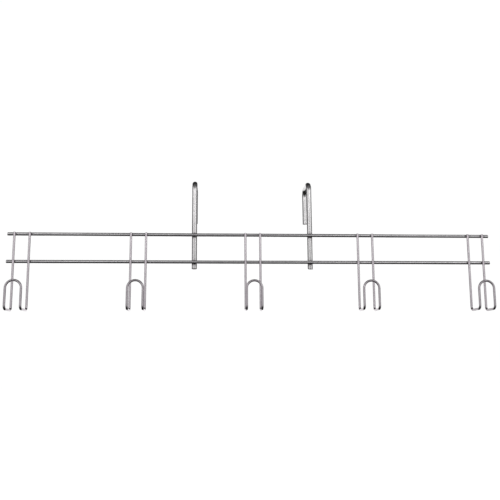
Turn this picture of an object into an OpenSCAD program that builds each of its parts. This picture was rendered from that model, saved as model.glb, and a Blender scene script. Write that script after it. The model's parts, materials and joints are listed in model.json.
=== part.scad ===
// Hanging file rack: five bent-wire hooks welded to the front of two long bars,
// which two bent-rod hangers hold over the top edge of a partition or door.
// +X runs along the bars, +Y points to the back and +Z up. The origin is midway
// between the hangers, on the line where they rest on the partition.
// All sizes are in millimetres, and wires are placed by their centre lines.

/* [Bars] */
// Length of each long bar
bar_length = 750; // [740:5:900]
// Diameter of the bar wire
bar_d = 5; // [4:0.5:6]
// Height of the top bar above the bottom bar
bar_spacing = 42.5; // [30:0.5:50]
// Depth of the top bar below the resting line
bar_drop = 82; // [75:1:110]

/* [Hooks] */
// Distance from each hook to the next, along the bars
hook_pitch = 176; // [100:1:176]
// Diameter of the hook wire
hook_d = 3.5; // [3:0.25:4]
// Distance between the two legs of a hook
leg_spacing = 23; // [18:0.5:26]
// Distance from the back legs of a hook to its front prongs
hook_depth = 34; // [24:1:50]
// Depth of a hook's foot below the top bar
hook_drop = 117.5; // [105:0.5:150]
// Height of a hook's front loop above its foot
loop_height = 42; // [25:0.5:50]
// Bend radius between a hook's legs and its foot
foot_bend_r = 5.5; // [4.5:0.5:8]
// Height of the back legs' cut ends above the top bar's centre line
leg_rise = 2.5; // [2:0.5:6]

/* [Hangers] */
// Distance between the two hangers, along the bars
hanger_spacing = 181; // [100:1:300]
// Diameter of the hanger rod
hanger_d = 8; // [6:0.5:9]
// Clear gap between the legs of a hanger, for the partition
partition_gap = 40; // [20:1:60]
// Bend radius at the top corners of a hanger
hanger_bend_r = 12; // [8:0.5:12]
// Depth of a rear leg's cut end below the resting line
rear_reach = 53; // [30:1:75]
// Depth of a front leg's cut end below the bottom bar
tail_length = 10; // [5:1:30]

/* [Welds and cut ends] */
// Gap between two crossing wires, which the weld metal fills
weld_gap = 0.15; // [0.1:0.05:0.3]
// Radius of a weld, as a share of the thinner wire's diameter
weld_share = 0.65; // [0.55:0.05:0.75]
// Chamfer left on the cut end of a wire
end_chamfer = 0.4; // [0.2:0.1:0.6]

/* [Hidden] */
$fn = 64;
hook_count = 5;
hooks = [1 : hook_count];
levels = ["top", "bottom"];
sides = ["left", "right"];

// Depth of the three layers of wire, from back to front
hanger_leg_y = (partition_gap + hanger_d) / 2;
bar_y = -hanger_leg_y - hanger_d / 2 - weld_gap - bar_d / 2;
hook_y = bar_y - bar_d / 2 - weld_gap - hook_d / 2;

// Heights of the wires
foot_z = -bar_drop - hook_drop;
loop_centre_z = foot_z + loop_height - leg_spacing / 2;
hanger_top_z = hanger_d / 2;
hanger_bend_z = hanger_top_z - hanger_bend_r;
front_reach = bar_drop + bar_spacing + tail_length;

// Height of the bar at a level, and the places of hooks and hangers along the bars
function bar_z(level) = level == "top" ? -bar_drop : -bar_drop - bar_spacing;
function hook_x(i) = (i - (hook_count + 1) / 2) * hook_pitch;
function hanger_x(side) = (side == "left" ? -1 : 1) * hanger_spacing / 2;

// Straight wire from the origin along +Z
module wire(length, d) {
    cylinder(h = length, d = d);
}

// Chamfered tip that closes a wire at the origin, pointing along +Z
module cut_end(d) {
    cylinder(h = end_chamfer, d1 = d, d2 = d - 2 * end_chamfer);
}

// Wire from the origin along +Z that ends in a chamfered cut
module cut_wire(length, d) {
    wire(length - end_chamfer, d);
    translate([0, 0, length - end_chamfer]) cut_end(d);
}

// Wire bent through an arc about the origin in the XY plane
module bend(radius, d, start, sweep) {
    rotate([0, 0, start])
        rotate_extrude(angle = sweep)
            translate([radius, 0]) circle(d = d);
}

// The same bend in the YZ plane, with its start angle counted from +Y towards +Z
module side_bend(radius, d, start) {
    rotate([90, 0, 90]) bend(radius, d, start, 90);
}

// Long bar, centred on the origin along X and cut at both ends
module bar() {
    for (turn = [-90, 90])
        rotate([0, turn, 0]) cut_wire(bar_length / 2, bar_d);
}

// Back leg, foot and front prong of a hook, with the back leg on the Z axis
module hook_half() {
    bend_z = foot_z + foot_bend_r;
    translate([0, 0, bend_z])
        cut_wire(leg_rise - bar_drop - bend_z, hook_d);
    translate([0, -foot_bend_r, bend_z])
        side_bend(foot_bend_r, hook_d, -90);
    translate([0, -foot_bend_r, foot_z])
        rotate([90, 0, 0]) wire(hook_depth - 2 * foot_bend_r, hook_d);
    translate([0, foot_bend_r - hook_depth, bend_z])
        side_bend(foot_bend_r, hook_d, 180);
    translate([0, -hook_depth, bend_z])
        wire(loop_centre_z - bend_z, hook_d);
}

// One hook: a single wire whose two front prongs join in a round loop
module hook(i) {
    color("silver")
    translate([hook_x(i), hook_y, 0]) {
        for (side = [-1, 1])
            translate([side * leg_spacing / 2, 0, 0]) hook_half();
        translate([0, -hook_depth, loop_centre_z])
            rotate([90, 0, 0]) bend(leg_spacing / 2, hook_d, 0, 180);
    }
}

// One hanger: a rod with two square corners, longer at the front than at the back
module hanger(side) {
    corner_y = hanger_leg_y - hanger_bend_r;
    color("darkgray")
    translate([hanger_x(side), 0, 0]) {
        translate([0, -hanger_leg_y, hanger_bend_z])
            mirror([0, 0, 1]) cut_wire(front_reach + hanger_bend_z, hanger_d);
        translate([0, -corner_y, hanger_bend_z])
            side_bend(hanger_bend_r, hanger_d, 90);
        translate([0, corner_y, hanger_top_z])
            rotate([90, 0, 0]) wire(2 * corner_y, hanger_d);
        translate([0, corner_y, hanger_bend_z])
            side_bend(hanger_bend_r, hanger_d, 0);
        translate([0, hanger_leg_y, hanger_bend_z])
            mirror([0, 0, 1]) cut_wire(rear_reach + hanger_bend_z, hanger_d);
    }
}

// Weld between a bar along X and an upright wire of diameter d. The origin is on
// the bar's axis, and reach is the upright wire's distance from it along Y.
module weld(d, reach) {
    contact = sign(reach) * (bar_d + weld_gap) / 2;
    span = 2 * max(d, bar_d);
    difference() {
        translate([0, contact, 0])
            rotate([90, 0, 0]) sphere(r = weld_share * min(d, bar_d));
        translate([-span, 0, 0]) rotate([0, 90, 0]) wire(2 * span, bar_d);
        translate([0, reach, -span]) wire(2 * span, d);
    }
}

// The two welds that join a hook to one bar
module hook_welds(i, level) {
    color("gray")
    for (side = [-1, 1])
        translate([hook_x(i) + side * leg_spacing / 2, bar_y, bar_z(level)])
            weld(hook_d, hook_y - bar_y);
}

// The weld that joins a hanger to one bar
module hanger_weld(side, level) {
    color("gray")
    translate([hanger_x(side), bar_y, bar_z(level)])
        weld(hanger_d, -hanger_leg_y - bar_y);
}

// The bar at one level
module level_bar(level) {
    color("lightgray")
    translate([0, bar_y, bar_z(level)]) bar();
}

for (level = levels)
    level_bar(level);

for (i = hooks)
    hook(i);

for (i = hooks)
    for (level = levels)
        hook_welds(i, level);

for (side = sides)
    hanger(side);

for (side = sides)
    for (level = levels)
        hanger_weld(side, level);
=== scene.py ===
import json
import math

import bmesh
import bpy
import numpy as np
from mathutils import Matrix, Vector, noise


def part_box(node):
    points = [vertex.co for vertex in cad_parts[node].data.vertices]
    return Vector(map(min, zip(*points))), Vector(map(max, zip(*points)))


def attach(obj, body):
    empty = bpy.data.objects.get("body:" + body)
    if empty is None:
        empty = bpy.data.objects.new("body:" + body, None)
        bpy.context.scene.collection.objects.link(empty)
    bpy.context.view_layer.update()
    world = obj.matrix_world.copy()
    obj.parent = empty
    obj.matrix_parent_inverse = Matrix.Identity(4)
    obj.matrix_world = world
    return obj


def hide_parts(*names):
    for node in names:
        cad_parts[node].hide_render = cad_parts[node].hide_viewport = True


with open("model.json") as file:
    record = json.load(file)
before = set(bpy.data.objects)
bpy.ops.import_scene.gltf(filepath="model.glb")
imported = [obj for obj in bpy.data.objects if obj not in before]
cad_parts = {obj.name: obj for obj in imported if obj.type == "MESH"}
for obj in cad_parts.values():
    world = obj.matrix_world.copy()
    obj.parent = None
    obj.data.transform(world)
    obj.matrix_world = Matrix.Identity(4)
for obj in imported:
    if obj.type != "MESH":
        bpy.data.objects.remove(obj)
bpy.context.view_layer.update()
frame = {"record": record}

# Everything is in metres. +X runs along the bars, +Y to the back and +Z up.
MM = 0.001

# Driving dimensions that a node's box doesn't give by itself
HOOK_WIRE = 3.5 * MM
LOOP_HEIGHT = 42 * MM
FOOT_BEND = 5.5 * MM
HANGER_BEND = 12 * MM
REAR_LEG_REACH = 53 * MM
WELD_SHARE = 0.65
END_CHAMFER = 0.4 * MM

# How finely the wires are meshed, and where their faces stop being smooth
RING_STEP = 4 * MM
SMALLEST_STEP = 0.01 * MM
RINGS_PER_BEND = 14
SHARP_ANGLE = math.radians(38)
SIDES = {"hook_wire": 32, "bar_wire": 40, "hanger_rod": 48, "weld_metal": 40}

# A direction that no wire takes
UNUSED_DIRECTION = (0.31, 0.57, 0.76)

# How far the real wire strays from the ideal one
WOBBLE = 0.12 * MM
WOBBLE_LENGTH = 90 * MM
RIPPLE = 0.012 * MM
RIPPLE_LENGTH = 7 * MM

# How far a bend flattens the wire, how far a cut leans, and how strongly painted shade darkens
# (and roughens) the prongs' fronts
FLATTENING = 0.14
CUT_TILT = 0.07
PRONG_SHADE = 0.7

# Without this seed, noise_vector() takes its offsets from the clock
NOISE_SEED = 1

# Where each kind of wire starts in the noise, and how far on its next one is
BAR_SEEDS = (1.7, 2.3)
HOOK_SEEDS = (6.3, 1.9)
HANGER_SEEDS = (21.4, 2.7)

# How far apart in the noise the welds are: from hook to hook, for each metre between the
# hangers, from level to level, and between the two beads of one hook
HOOK_WELD_STEP = 3.1
HANGER_WELD_STEP = 40
LEVEL_STEP = 1
BEAD_STEP = 0.37

# How far a weld's heat stains the wires, in weld radii: fully, and then fading
HEAT_CORE = 0.7
HEAT_FADE = 0.7

# Rings of a cut end: each is a share of its face's radius, and a depth that runs from
# 0 at the face to 1 where the chamfer meets the full wire
END_RINGS = ((0.3, 0.0), (0.62, 0.0), (1.0, 0.0), (1.0, 0.5), (1.0, 1.0))

# Shape of a weld bead: the rings under each wire as shares of its rim, the steps between
# the wires, how uneven the rim is, how far round a wire it may reach, how far it sinks
# into the wires, and how deep its waist and its wrinkles are
BEAD_RINGS = (0.35, 0.7, 1.0)
BEAD_STEPS = 7
BEAD_UNEVENNESS = 0.16
BEAD_WRAP = 0.95
BEAD_SINK = 0.08 * MM
BEAD_WAIST = 0.09
BEAD_WRINKLE = 0.05

HOOKS = range(1, 6)
LEVELS = ("top", "bottom")
LEFT_RIGHT = ("left", "right")


# ---------------------------------------------------------------- frame sizes

def middle(node):
    """Centre of a CAD node's box."""
    low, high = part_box(node)
    return (low + high) / 2


def size(node):
    """Lengths of the sides of a CAD node's box."""
    low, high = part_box(node)
    return high - low


BAR_R = size("top_bar").z / 2
HOOK_R = HOOK_WIRE / 2
HANGER_R = size("left_hanger").x / 2
BAR_Y = middle("top_bar").y
HOOK_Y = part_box("hook_1")[1].y - HOOK_R
HOOK_DEPTH = size("hook_1").y - HOOK_WIRE
HANGER_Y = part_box("left_hanger")[0].y + HANGER_R


def leg_places(i):
    """Where a hook's left and right legs stand along the bars."""
    low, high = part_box(f"hook_{i}")
    return low.x + HOOK_R, high.x - HOOK_R


def weld_places():
    """Middle and radius of every weld, where an upright wire touches a bar."""
    hooks = [(x, BAR_Y - BAR_R, HOOK_R) for i in HOOKS for x in leg_places(i)]
    hangers = [(middle(f"{side}_hanger").x, BAR_Y + BAR_R, BAR_R) for side in LEFT_RIGHT]
    heights = [middle(f"{level}_bar").z for level in LEVELS]
    return np.array([(x, y, z, 2 * WELD_SHARE * thinner)
                     for x, y, thinner in hooks + hangers for z in heights])


WELDS = weld_places()


# ------------------------------------------------------------------ geometry

def rounded_path(corners, radii):
    """Points of a centre line through the corners, with the inner ones rounded."""
    points = [corners[0]]
    for before, corner, after, radius in zip(corners, corners[1:], corners[2:], radii):
        to_before = (before - corner).normalized()
        to_after = (after - corner).normalized()
        half = to_before.angle(to_after) / 2
        centre = corner + (to_before + to_after).normalized() * radius / math.sin(half)
        start = corner + to_before * radius / math.tan(half) - centre
        end = corner + to_after * radius / math.tan(half) - centre
        turn = start.angle(end)
        for k in range(RINGS_PER_BEND + 1):
            share = k / RINGS_PER_BEND
            arm = start * math.sin((1 - share) * turn) + end * math.sin(share * turn)
            points.append(centre + arm / math.sin(turn))
    points.append(corners[-1])
    return points


def spaced(points):
    """The same path as an array, with long steps divided and doubled points dropped."""
    path = [points[0]]
    for point in points[1:]:
        step = (point - path[-1]).length
        if step < SMALLEST_STEP:
            continue
        start = path[-1]
        parts = math.ceil(step / RING_STEP)
        path += [start.lerp(point, k / parts) for k in range(1, parts + 1)]
    return np.array(path)


def unit(vectors):
    """The vectors scaled to length one."""
    return vectors / np.linalg.norm(vectors, axis=-1, keepdims=True)


def tangents(path):
    """Direction of the path at each of its points."""
    steps = unit(np.diff(path, axis=0))
    inner = unit(steps[:-1] + steps[1:])
    return np.vstack([steps[:1], inner, steps[-1:]])


def carried_normals(along):
    """A normal for each tangent, carried along the path without twist."""
    first = np.cross(along[0], UNUSED_DIRECTION)
    normals = [first / np.linalg.norm(first)]
    for direction in along[1:]:
        normal = normals[-1] - direction * normals[-1].dot(direction)
        normals.append(normal / np.linalg.norm(normal))
    return np.array(normals)


def curvature(path, along):
    """Vector towards the bend's centre at each point, as long as one over its radius."""
    bend = np.zeros_like(path)
    gaps = np.linalg.norm(path[2:] - path[:-2], axis=1, keepdims=True)
    bend[1:-1] = (along[2:] - along[:-2]) / gaps
    return bend


def wander(path, seed):
    """The small sideways error of wire that was straightened by machine."""
    shift = [noise.noise_vector(Vector(p) / WOBBLE_LENGTH + Vector((seed, 0, 0))) for p in path]
    return np.array(shift) * WOBBLE


def cut_rings(centre, along, outward, radius, seed):
    """Rings of a sheared end, from the middle of its face out to the full wire."""
    lean = outward @ np.array((math.sin(seed), math.cos(seed), 0.6))
    rings = []
    for share, depth in END_RINGS:
        reach = share * (radius - END_CHAMFER * (1 - depth))
        back = END_CHAMFER * depth + CUT_TILT * reach * lean
        rings.append(centre + outward * reach - along * back[:, None])
    return rings


def loft(name, rings, places, marks):
    """Closed mesh through rings of points, each end closed at the ring's centre."""
    count, sides = rings.shape[:2]

    def with_poles(values):
        flat = values.reshape(-1, values.shape[-1])
        return np.vstack([values[0].mean(0), flat, values[-1].mean(0)])

    def at(ring, side):
        return 1 + ring * sides + side % sides

    last = count * sides + 1
    faces = [(0, at(0, k + 1), at(0, k)) for k in range(sides)]
    faces += [(at(r, k), at(r, k + 1), at(r + 1, k + 1), at(r + 1, k))
              for r in range(count - 1) for k in range(sides)]
    faces += [(last, at(count - 1, k), at(count - 1, k + 1)) for k in range(sides)]
    mesh = bpy.data.meshes.new(name)
    mesh.from_pydata(with_poles(rings).tolist(), [], faces)
    for label, values in (("place", places), ("marks", marks)):
        layer = mesh.attributes.new(label, "FLOAT_VECTOR", "POINT")
        layer.data.foreach_set("vector", with_poles(values).ravel())
    mesh.polygons.foreach_set("use_smooth", [True] * len(mesh.polygons))
    return mesh


def joined(name, meshes):
    """One object from closed meshes, with its normals pointing out."""
    shape = bmesh.new()
    for mesh in meshes:
        shape.from_mesh(mesh)
        bpy.data.meshes.remove(mesh)
    bmesh.ops.recalc_face_normals(shape, faces=shape.faces)
    whole = bpy.data.meshes.new(name)
    shape.to_mesh(whole)
    shape.free()
    whole.set_sharp_from_angle(angle=SHARP_ANGLE)
    piece = bpy.data.objects.new(name, whole)
    bpy.context.scene.collection.objects.link(piece)
    return piece


def heat_marks(points):
    """How much the heat of the nearest weld has touched each point, from 0 to 1."""
    gaps = np.linalg.norm(points[..., None, :] - WELDS[:, :3], axis=-1) / WELDS[:, 3]
    return np.exp(-((gaps.min(-1) - HEAT_CORE).clip(0) / HEAT_FADE) ** 2)


def prong_shade_marks(points):
    """Painted shade that darkens and roughens each point, growing towards the front of the
    prongs, none on the bars.
    """
    return ((HOOK_Y - HOOK_R - points[..., 1]) / HOOK_DEPTH).clip(0, 1) ** 2 * PRONG_SHADE


def spokes(along, turn):
    """Directions out from the wire's centre, one for each ring and each angle of turn."""
    normals = carried_normals(along)
    across = np.cross(along, normals)
    return normals[:, None] * np.cos(turn)[:, None] + across[:, None] * np.sin(turn)[:, None]


def bending(path, along, outward, radius):
    """Strain of the metal at each ring, and how far the bend flattens each point of it."""
    bend = curvature(path, along)
    strain = np.linalg.norm(bend, axis=1, keepdims=True) * radius
    facing = np.einsum("rsk,rk->rs", outward, bend) * radius / strain.clip(1e-6)
    return strain.clip(0, 1), FLATTENING * strain * (0.5 - 1.5 * facing ** 2)


def ripples(turn, travelled, seed):
    """The drawn wire's small swells, for each ring and each angle of turn."""
    spots = list(zip(np.cos(turn), np.sin(turn)))
    swells = [[noise.noise(Vector((c, s, way / RIPPLE_LENGTH + seed))) for c, s in spots]
              for way in travelled]
    return RIPPLE * np.array(swells)


def wire_places(turn, travelled, ring_of_path, radius, seed):
    """Where each point is on the wire's skin: across it, and along it."""
    face_shares = [share for share, _ in END_RINGS]
    full_rings = len(ring_of_path) - 2 * len(END_RINGS)
    shares = np.array(face_shares + [1] * full_rings + face_shares[::-1])
    places = np.zeros((len(ring_of_path), len(turn), 3))
    places[..., 0] = shares[:, None] * np.cos(turn) * radius
    places[..., 1] = shares[:, None] * np.sin(turn) * radius
    places[..., 2] = travelled[ring_of_path, None] + seed
    return places


def wire_marks(rings, strain, ring_of_path):
    """Heat from the welds, dulling from bends, painted shade on the prongs' fronts, and the raw
    cut ends.
    """
    cut = len(END_RINGS) - 1
    marks = np.zeros_like(rings)
    marks[..., 0] = heat_marks(rings)
    # Dulling of the bends together with painted shade that darkens the prongs towards their front
    marks[..., 1] = np.maximum(strain[ring_of_path], prong_shade_marks(rings))
    marks[:cut, :, 2] = 1
    marks[-cut:, :, 2] = 1
    return marks


def wire(name, points, radius, sides, seed):
    """Mesh of a bent wire with sheared ends, slightly uneven and flattened in its bends."""
    path = spaced(points)
    path += wander(path, seed)
    along = tangents(path)
    turn = np.linspace(0, 2 * math.pi, sides, endpoint=False)
    outward = spokes(along, turn)
    strain, squash = bending(path, along, outward, radius)
    steps = np.linalg.norm(np.diff(path, axis=0), axis=1)
    travelled = np.concatenate([[0], np.cumsum(steps)])
    reach = radius * (1 + squash) + ripples(turn, travelled, seed)
    body = path[:, None] + outward * reach[..., None]
    first = cut_rings(path[0], -along[0], outward[0], radius, seed)
    final = cut_rings(path[-1], along[-1], outward[-1], radius, seed + 2)[::-1]
    rings = np.array(first + list(body[1:-1]) + final)
    ring_of_path = np.clip(np.arange(len(rings)) - len(END_RINGS) + 1, 0, len(path) - 1)
    places = wire_places(turn, travelled, ring_of_path, radius, seed)
    return loft(name, rings, places, wire_marks(rings, strain, ring_of_path))


def noise_round(turn, lumps, height):
    """Noise at each angle of turn, on a circle that crosses the given number of lumps."""
    spots = [(lumps * math.cos(t), lumps * math.sin(t), height) for t in turn]
    return np.array([noise.noise(Vector(spot)) for spot in spots])


def weld_bead(name, crossing, side, upright_r, seed):
    """Mesh of the metal squeezed out where an upright wire is welded to a bar.

    side is -1 for an upright in front of the bar and 1 for one behind it.
    """
    turn = np.linspace(0, 2 * math.pi, SIDES["weld_metal"], endpoint=False)
    upright_y = (HOOK_Y if side < 0 else HANGER_Y) - BAR_Y
    spread = WELD_SHARE * 2 * min(upright_r, BAR_R)
    rim = spread * (1 + BEAD_UNEVENNESS * noise_round(turn, 2, seed))

    def on_upright(share):
        x = (share * rim * np.cos(turn)).clip(-BEAD_WRAP * upright_r, BEAD_WRAP * upright_r)
        y = upright_y - side * (np.sqrt(upright_r ** 2 - x ** 2) - BEAD_SINK)
        return np.stack([x, y, share * rim * np.sin(turn)], axis=-1)

    def on_bar(share):
        z = (share * rim * np.sin(turn)).clip(-BEAD_WRAP * BAR_R, BEAD_WRAP * BAR_R)
        y = side * (np.sqrt(BAR_R ** 2 - z ** 2) - BEAD_SINK)
        return np.stack([share * rim * np.cos(turn), y, z], axis=-1)

    rings = [on_upright(share) for share in BEAD_RINGS]
    for k in range(1, BEAD_STEPS):
        share = k / BEAD_STEPS
        skin = on_upright(1.0) * (1 - share) + on_bar(1.0) * share
        waist = BEAD_WAIST - BEAD_WRINKLE * noise_round(turn, 3, seed + 3 * share)
        skin[:, (0, 2)] *= (1 - waist * math.sin(math.pi * share))[:, None]
        rings.append(skin)
    rings += [on_bar(share) for share in reversed(BEAD_RINGS)]
    rings = np.array(rings)
    places = rings + np.array((0, 0, seed))
    marks = np.zeros_like(rings)
    marks[..., 0] = 1
    return loft(name, rings + crossing, places, marks)


# ----------------------------------------------------------------- materials

SPECK_COLOUR = (0.16, 0.15, 0.145, 1)
HEAT_COLOUR = (0.17, 0.15, 0.16, 1)
RAW_DARK = (0.24, 0.23, 0.225, 1)
RAW_LIGHT = (0.42, 0.41, 0.4, 1)

# How much rougher the metal is where it is heated, dulled and cut
HEAT_ROUGHNESS = 0.12
DULLED_ROUGHNESS = 0.10
CUT_ROUGHNESS = 0.22

# Depth of the surface's relief, and how strongly the shading shows it
RELIEF_DEPTH = 0.03 * MM
RELIEF_STRENGTH = 0.35


def node(tree, kind, inputs=None, **settings):
    """Adds a shader node; an input is a value, or a socket to link from."""
    made = tree.nodes.new(kind)
    for key, value in settings.items():
        setattr(made, key, value)
    for key, value in (inputs or {}).items():
        if isinstance(value, bpy.types.NodeSocket):
            tree.links.new(value, made.inputs[key])
        else:
            made.inputs[key].default_value = value
    return made


def math_node(tree, operation, a, b):
    """Output of a maths node."""
    return node(tree, "ShaderNodeMath", {0: a, 1: b}, operation=operation).outputs[0]


def remap(tree, value, low, high, to_low, to_high):
    """Value moved from one range to another, and kept inside it."""
    inputs = {"Value": value, "From Min": low, "From Max": high,
              "To Min": to_low, "To Max": to_high}
    return node(tree, "ShaderNodeMapRange", inputs).outputs[0]


def pattern(tree, place, stretch, detail=3.0, roughness=0.55):
    """Noise whose grains are the given sizes, in metres, across and along the wire."""
    scale = [1 / length for length in stretch]
    where = node(tree, "ShaderNodeVectorMath", {0: place, 1: scale}, operation="MULTIPLY")
    inputs = {"Vector": where.outputs[0], "Scale": 1.0, "Detail": detail, "Roughness": roughness}
    return node(tree, "ShaderNodeTexNoise", inputs).outputs["Fac"]


def blend(tree, share, a, b):
    """Colour between a and b."""
    mix = node(tree, "ShaderNodeMix", {"Factor": share}, data_type="RGBA")
    for socket, value in ((mix.inputs[6], a), (mix.inputs[7], b)):
        if isinstance(value, bpy.types.NodeSocket):
            tree.links.new(value, socket)
        else:
            socket.default_value = value
    return mix.outputs[2]


def shade(colour, factor):
    """A colour with its brightness changed, as RGBA."""
    return (*(channel * factor for channel in colour[:3]), 1)


def plated_steel(name, tint, gloss, grain):
    """Bright plated wire, mottled and lined along, with stained welds and raw cut ends."""
    material = bpy.data.materials.new(name)
    material.use_nodes = True
    tree = material.node_tree
    shader = tree.nodes["Principled BSDF"]
    shader.inputs["Metallic"].default_value = 1.0
    place = node(tree, "ShaderNodeAttribute", attribute_name="place").outputs["Vector"]
    marks = node(tree, "ShaderNodeAttribute", attribute_name="marks").outputs["Vector"]
    heat, bend_wear_and_shade, cut = node(tree, "ShaderNodeSeparateXYZ", {0: marks}).outputs

    lines = pattern(tree, place, (0.16 * MM, 0.16 * MM, 30 * MM))
    streaks = pattern(tree, place, (0.9 * MM, 0.9 * MM, 45 * MM), detail=2.0)
    cloud = pattern(tree, place, (5 * MM, 5 * MM, 11 * MM), detail=4.0)
    skin = pattern(tree, place, (grain, grain, 2.2 * grain), detail=2.0)
    specks = pattern(tree, place, (0.5 * MM, 0.5 * MM, 0.7 * MM), detail=1.0)
    shear = pattern(tree, place, (0.12 * MM, 1.4 * MM, 1 * MM), detail=3.0)

    colour = blend(tree, remap(tree, cloud, 0.3, 0.7, 0, 1), shade(tint, 0.90), shade(tint, 1.08))
    colour = blend(tree, remap(tree, streaks, 0.42, 0.68, 0, 0.35), colour, shade(tint, 0.74))
    colour = blend(tree, remap(tree, lines, 0.5, 0.75, 0, 0.25), colour, shade(tint, 1.18))
    colour = blend(tree, remap(tree, specks, 0.68, 0.76, 0, 0.55), colour, SPECK_COLOUR)
    tinted = math_node(tree, "MULTIPLY", heat, remap(tree, cloud, 0.35, 0.65, 0.55, 0.95))
    colour = blend(tree, tinted, colour, HEAT_COLOUR)
    # Darker where the bends are dulled, and painted shade on the prongs' fronts
    wear_and_shade = math_node(tree, "MULTIPLY", bend_wear_and_shade, remap(tree, streaks, 0.35, 0.65, 0.45, 0.85))
    colour = blend(tree, wear_and_shade, colour, shade(tint, 0.50))
    raw = blend(tree, remap(tree, shear, 0.4, 0.6, 0, 1), RAW_DARK, RAW_LIGHT)
    colour = blend(tree, cut, colour, raw)
    tree.links.new(colour, shader.inputs["Base Color"])

    rough = remap(tree, streaks, 0.3, 0.7, gloss - 0.05, gloss + 0.08)
    rough = math_node(tree, "ADD", rough, remap(tree, lines, 0.3, 0.7, -0.02, 0.04))
    for mark, added in ((heat, HEAT_ROUGHNESS), (bend_wear_and_shade, DULLED_ROUGHNESS), (cut, CUT_ROUGHNESS)):
        rough = math_node(tree, "ADD", rough, math_node(tree, "MULTIPLY", mark, added))
    tree.links.new(rough, shader.inputs["Roughness"])

    relief = math_node(tree, "MULTIPLY", lines, 0.35)
    relief = math_node(tree, "ADD", relief, skin)
    rise = math_node(tree, "MULTIPLY", math_node(tree, "MULTIPLY", cut, shear), 3.0)
    relief = math_node(tree, "ADD", relief, rise)
    depth = {"Strength": RELIEF_STRENGTH, "Distance": RELIEF_DEPTH, "Height": relief}
    bump = node(tree, "ShaderNodeBump", depth)
    tree.links.new(bump.outputs["Normal"], shader.inputs["Normal"])
    return material


def slot_colour(slot):
    """Base colour that the record gives a material slot."""
    return next(m["base_color"] for m in frame["record"]["materials"] if m["slot"] == slot)


# Roughness of each slot's metal, and the size of its grain
FINISHES = {"bar_wire": (0.20, 0.9 * MM), "hook_wire": (0.24, 0.7 * MM),
            "hanger_rod": (0.22, 1.2 * MM), "weld_metal": (0.30, 0.4 * MM)}
MATERIALS = {slot: plated_steel(slot, slot_colour(slot), *finish)
             for slot, finish in FINISHES.items()}


# -------------------------------------------------------------------- pieces

def dress(piece, slot, cad_node):
    """Finishes a piece, fixes it to the rack and lets it stand for its CAD node."""
    piece.data.materials.append(MATERIALS[slot])
    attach(piece, "root")
    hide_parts(cad_node)


def make_wire(cad_node, slot, corners, radii, radius, seed):
    """One bent wire of the rack."""
    name = f"{cad_node}_steel"
    points = rounded_path(corners, radii)
    piece = joined(name, [wire(name, points, radius, SIDES[slot], seed)])
    dress(piece, slot, cad_node)


def make_bar(level, seed):
    """A long straight bar."""
    low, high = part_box(f"{level}_bar")
    centre = middle(f"{level}_bar")
    ends = [Vector((x, centre.y, centre.z)) for x in (low.x, high.x)]
    make_wire(f"{level}_bar", "bar_wire", ends, [], BAR_R, seed)


def make_hook(i, seed):
    """A hook, from the cut end of its left back leg round to the right one's."""
    low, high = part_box(f"hook_{i}")
    left, right = leg_places(i)
    back, front = high.y - HOOK_R, low.y + HOOK_R
    foot = low.z + HOOK_R
    outline = ((back, high.z), (back, foot), (front, foot), (front, foot + LOOP_HEIGHT))
    corners = [Vector((left, y, z)) for y, z in outline]
    corners += [Vector((right, y, z)) for y, z in reversed(outline)]
    loop_r = (right - left) / 2
    radii = [FOOT_BEND, FOOT_BEND, loop_r, loop_r, FOOT_BEND, FOOT_BEND]
    make_wire(f"hook_{i}", "hook_wire", corners, radii, HOOK_R, seed)


def make_hanger(side, seed):
    """A hanger, from the foot of its front leg over the top to its rear leg."""
    low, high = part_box(f"{side}_hanger")
    x = middle(f"{side}_hanger").x
    front, rear = low.y + HANGER_R, high.y - HANGER_R
    top = high.z - HANGER_R
    outline = ((front, low.z), (front, top), (rear, top), (rear, -REAR_LEG_REACH))
    corners = [Vector((x, y, z)) for y, z in outline]
    make_wire(f"{side}_hanger", "hanger_rod", corners, [HANGER_BEND] * 2, HANGER_R, seed)


def make_welds(cad_node, level, places, side, upright_r, seed):
    """The weld beads of one CAD node, on the bar at one level."""
    name = f"{cad_node}_metal"
    z = middle(f"{level}_bar").z
    beads = [weld_bead(name, np.array((x, BAR_Y, z)), side, upright_r, seed + BEAD_STEP * k)
             for k, x in enumerate(places)]
    dress(joined(name, beads), "weld_metal", cad_node)


def seed_of(seeds, k):
    """Where the k-th wire of its kind is in the noise."""
    start, step = seeds
    return start + step * k


def make_rack():
    """Every piece of the rack."""
    noise.seed_set(NOISE_SEED)
    for k, level in enumerate(LEVELS):
        make_bar(level, seed_of(BAR_SEEDS, k))
        for i in HOOKS:
            seed = HOOK_WELD_STEP * i + LEVEL_STEP * k
            make_welds(f"hook_{i}_{level}_welds", level, leg_places(i), -1, HOOK_R, seed)
        for side in LEFT_RIGHT:
            place = middle(f"{side}_hanger").x
            seed = place * HANGER_WELD_STEP + LEVEL_STEP * k
            make_welds(f"{side}_hanger_{level}_weld", level, [place], 1, HANGER_R, seed)
    for i in HOOKS:
        make_hook(i, seed_of(HOOK_SEEDS, i))
    for k, side in enumerate(LEFT_RIGHT):
        make_hanger(side, seed_of(HANGER_SEEDS, k))


# ----------------------------------------------------------------- the studio

FLOOR_Z = -1.4
FLOOR_REACH = 30
FLOOR_COLOUR = (0.95, 0.95, 0.95, 1)
FLOOR_ROUGHNESS = 0.9
CAMERA_PLACE = (-0.0659, -1.0732, -0.2786)
CAMERA_YAW = 3.387
CAMERA_PITCH = 9.418
CAMERA_ROLL = -0.319
CAMERA_LENS = 49.05

# Brightness of the tent round the rack: from straight down to straight up, and from
# the front to the back. Each pair is a place from 0 to 1 and the brightness there.
TENT_BY_HEIGHT = ((0.0, 0.04), (0.21, 0.05), (0.36, 1.05), (0.61, 0.95), (0.69, 1.8),
                  (0.82, 0.30), (1.0, 0.20))
TENT_BY_DEPTH = ((0.0, 0.53), (0.21, 0.90), (0.34, 0.84), (0.48, 0.16), (0.90, 0.14), (1.0, 0.4))

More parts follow.
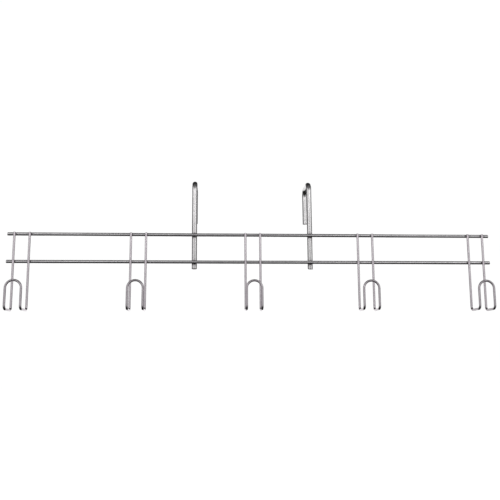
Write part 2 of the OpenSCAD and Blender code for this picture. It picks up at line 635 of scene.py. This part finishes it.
# Where the bright backdrop behind the rack starts and is full, how bright the metal sees
# it, and what the camera sees in its place
BACKDROP_EDGE = (0.86, 0.95)
BACKDROP_LEVEL = 1.4
SEEN_WHITE = (1.02, 1.02, 1.02, 1)

# The softboxes stand in pairs, left and right. Each is a distance to the side, a place
# front to back, a height above the origin, its width, its height and its power
SOFTBOXES = {"side": (1.9, -1.1, 0.3, 0.9, 1.6, 1.2), "front": (1.2, -2.4, 0.75, 1.6, 0.5, 4.5)}
SOFTBOX_AIM = Vector((0, BAR_Y, -0.1))


def make_camera():
    """Camera below the rack and a little to its left, looking slightly up at it."""
    camera = bpy.data.objects.new("camera", bpy.data.cameras.new("camera"))
    bpy.context.scene.collection.objects.link(camera)
    camera.data.lens = CAMERA_LENS
    camera.location = CAMERA_PLACE
    yaw = Matrix.Rotation(math.radians(-CAMERA_YAW), 4, "Z")
    pitch = Matrix.Rotation(math.radians(90 + CAMERA_PITCH), 4, "X")
    roll = Matrix.Rotation(math.radians(CAMERA_ROLL), 4, "Z")
    camera.rotation_euler = (yaw @ pitch @ roll).to_euler()
    bpy.context.scene.camera = camera


def make_floor():
    """Pale floor, far enough below for the rack to hang clear of it."""
    mesh = bpy.data.meshes.new("floor")
    sides = ((-1, -1), (1, -1), (1, 1), (-1, 1))
    corners = [(FLOOR_REACH * x, FLOOR_REACH * y, FLOOR_Z) for x, y in sides]
    mesh.from_pydata(corners, [], [(0, 1, 2, 3)])
    floor = bpy.data.objects.new("floor", mesh)
    bpy.context.scene.collection.objects.link(floor)
    material = bpy.data.materials.new("floor_paper")
    material.use_nodes = True
    shader = material.node_tree.nodes["Principled BSDF"]
    shader.inputs["Base Color"].default_value = FLOOR_COLOUR
    shader.inputs["Roughness"].default_value = FLOOR_ROUGHNESS
    shader.inputs["Emission Color"].default_value = (1, 1, 1, 1)
    shader.inputs["Emission Strength"].default_value = 1.0
    mesh.materials.append(material)
    floor.visible_glossy = False


def ramp(tree, value, levels):
    """Brightness that runs smoothly through (place, brightness) pairs."""
    made = node(tree, "ShaderNodeValToRGB", {0: value})
    stops = made.color_ramp.elements
    while len(stops) < len(levels):
        stops.new(0.5)
    made.color_ramp.interpolation = "EASE"
    for stop, (place, level) in zip(stops, levels):
        stop.position = place
        stop.color = (level, level, level, 1)
    return made.outputs[0]


def make_world():
    """White backdrop for the camera, and a soft tent that the bright metal reflects."""
    world = bpy.data.worlds.new("studio")
    bpy.context.scene.world = world
    world.use_nodes = True
    tree = world.node_tree
    way = node(tree, "ShaderNodeTexCoord").outputs["Generated"]
    _, back, up = node(tree, "ShaderNodeSeparateXYZ", {0: way}).outputs
    height = ramp(tree, remap(tree, up, -1, 1, 0, 1), TENT_BY_HEIGHT)
    depth = ramp(tree, remap(tree, back, -1, 1, 0, 1), TENT_BY_DEPTH)
    tent = math_node(tree, "MULTIPLY", height, depth)
    sweep = remap(tree, back, *BACKDROP_EDGE, 0, BACKDROP_LEVEL)
    tent = math_node(tree, "MAXIMUM", tent, sweep)
    seen = node(tree, "ShaderNodeLightPath").outputs["Is Camera Ray"]
    light = blend(tree, seen, tent, SEEN_WHITE)
    tree.links.new(light, tree.nodes["Background"].inputs["Color"])


def make_softbox(name, place, width, height, power):
    """Large soft lamp that faces the rack."""
    lamp = bpy.data.lights.new(name, "AREA")
    lamp.shape = "RECTANGLE"
    lamp.size = width
    lamp.size_y = height
    lamp.energy = power
    softbox = bpy.data.objects.new(name, lamp)
    bpy.context.scene.collection.objects.link(softbox)
    softbox.location = place
    facing = SOFTBOX_AIM - softbox.location
    softbox.rotation_euler = facing.to_track_quat("-Z", "Y").to_euler()
    softbox.visible_camera = False


def make_studio():
    """Camera, floor, backdrop and lamps."""
    make_camera()
    make_floor()
    make_world()
    for side, name in zip((-1, 1), LEFT_RIGHT):
        for kind, (x, y, z, width, height, power) in SOFTBOXES.items():
            make_softbox(f"{name}_{kind}_softbox", (x * side, y, z), width, height, power)
    bpy.context.scene.view_settings.view_transform = "Standard"


make_studio()
make_rack()
